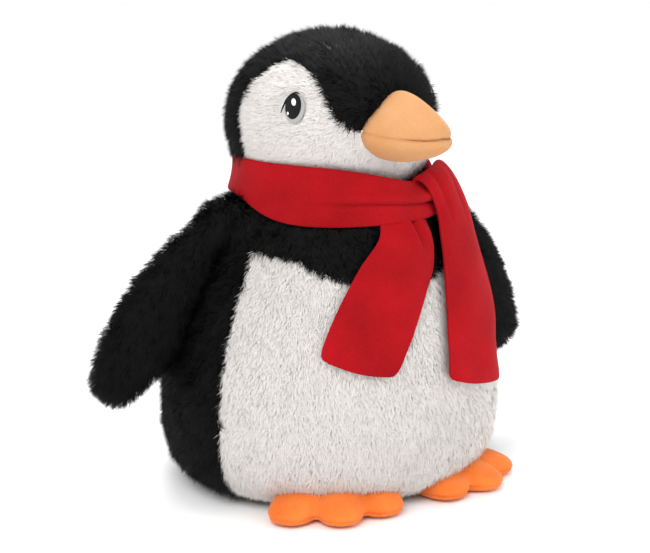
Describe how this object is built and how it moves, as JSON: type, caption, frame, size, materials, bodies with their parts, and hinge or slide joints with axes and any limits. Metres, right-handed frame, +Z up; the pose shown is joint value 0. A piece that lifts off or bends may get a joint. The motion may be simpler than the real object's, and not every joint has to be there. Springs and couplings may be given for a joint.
{
  "type": "plush penguin",
  "caption": "Standing stuffed penguin in black and white pile fabric with a stuffed orange beak and feet, embroidered eyes and a knotted red scarf.",
  "frame": {"origin": "on the ground under the middle of the body's flat base", "axes": "+Z up, the penguin faces -Y, its own left side is +X"},
  "size_m": [0.2886, 0.1869, 0.259],
  "materials": {
    "black_plush": "matte",
    "white_plush": "matte",
    "orange_plush": "matte",
    "beak_plush": "matte",
    "scarf_velour": "matte",
    "stuffing": "matte",
    "pellet_bag": "matte",
    "eye_thread": "satin"
  },
  "bodies": {
    "torso": {"torso_stuffing": "stuffing", "pellet_bag": "pellet_bag", "belly_panel": "white_plush", "chest_panel": "black_plush", "back_panel_left": "black_plush", "back_panel_right": "black_plush", "base_panel": "black_plush"},
    "neck": {"neck_stuffing": "stuffing"},
    "head": {"head_stuffing": "stuffing", "crown_panel": "black_plush", "head_back_left": "black_plush", "head_back_right": "black_plush", "face_panel_left": "white_plush", "face_panel_right": "white_plush", "beak_upper": "beak_plush", "beak_lower": "beak_plush", "beak_stuffing": "stuffing", "eye_left": "eye_thread", "eye_right": "eye_thread"},
    "shoulder_left": {"wing_root_left": "stuffing"},
    "shoulder_right": {"wing_root_right": "stuffing"},
    "wing_left": {"wing_outer_left": "black_plush", "wing_inner_left": "black_plush", "wing_stuffing_left": "stuffing"},
    "wing_right": {"wing_outer_right": "black_plush", "wing_inner_right": "black_plush", "wing_stuffing_right": "stuffing"},
    "foot_left": {"foot_upper_left": "orange_plush", "foot_sole_left": "orange_plush", "foot_stuffing_left": "stuffing"},
    "foot_right": {"foot_upper_right": "orange_plush", "foot_sole_right": "orange_plush", "foot_stuffing_right": "stuffing"},
    "scarf": {"scarf_collar": "scarf_velour", "scarf_knot": "scarf_velour"},
    "tail_front": {"scarf_tail_front": "scarf_velour"},
    "tail_over": {"scarf_tail_over": "scarf_velour"}
  },
  "joints": [
    {"name": "head_turn", "type": "hinge", "parent": "torso", "child": "neck", "pos_m": [0, 0, 0.175], "axis": [0, 0, 1], "range_deg": [-30, 25], "stiffness_Nm_per_rad": 0.3},
    {"name": "head_nod", "type": "hinge", "parent": "neck", "child": "head", "pos_m": [0, 0, 0.175], "axis": [0.9848, 0.1736, 0], "range_deg": [-5, 5], "stiffness_Nm_per_rad": 0.8},
    {"name": "wing_swing_left", "type": "hinge", "parent": "torso", "child": "shoulder_left", "pos_m": [0.07, 0, 0.158], "axis": [-1, 0, 0], "range_deg": [-25, 25], "stiffness_Nm_per_rad": 0.08},
    {"name": "wing_lift_left", "type": "hinge", "parent": "shoulder_left", "child": "wing_left", "pos_m": [0.07, 0, 0.158], "axis": [0, -1, 0], "range_deg": [0, 75], "stiffness_Nm_per_rad": 0.08},
    {"name": "wing_swing_right", "type": "hinge", "parent": "torso", "child": "shoulder_right", "pos_m": [-0.07, 0, 0.158], "axis": [-1, 0, 0], "range_deg": [-25, 25], "stiffness_Nm_per_rad": 0.08},
    {"name": "wing_lift_right", "type": "hinge", "parent": "shoulder_right", "child": "wing_right", "pos_m": [-0.07, 0, 0.158], "axis": [0, 1, 0], "range_deg": [0, 75], "stiffness_Nm_per_rad": 0.08},
    {"name": "foot_lift_left", "type": "hinge", "parent": "torso", "child": "foot_left", "pos_m": [0.047, -0.0555, 0.004], "axis": [-1, 0, 0], "range_deg": [0, 12], "stiffness_Nm_per_rad": 0.1},
    {"name": "foot_lift_right", "type": "hinge", "parent": "torso", "child": "foot_right", "pos_m": [-0.047, -0.0555, 0.004], "axis": [-1, 0, 0], "range_deg": [0, 12], "stiffness_Nm_per_rad": 0.1},
    {"name": "scarf_turn", "type": "hinge", "parent": "torso", "child": "scarf", "pos_m": [0, 0, 0.175], "axis": [0, 0, 1], "range_deg": [-12, 12]},
    {"name": "tail_front_lift", "type": "hinge", "parent": "scarf", "child": "tail_front", "pos_m": [0.03055, -0.057, 0.1495], "axis": [-0.9715, -0.2369, 0], "range_deg": [0, 70]},
    {"name": "tail_over_lift", "type": "hinge", "parent": "scarf", "child": "tail_over", "pos_m": [0.0518, -0.0424, 0.1495], "axis": [-0.7735, -0.6338, 0], "range_deg": [0, 70]}
  ]
}
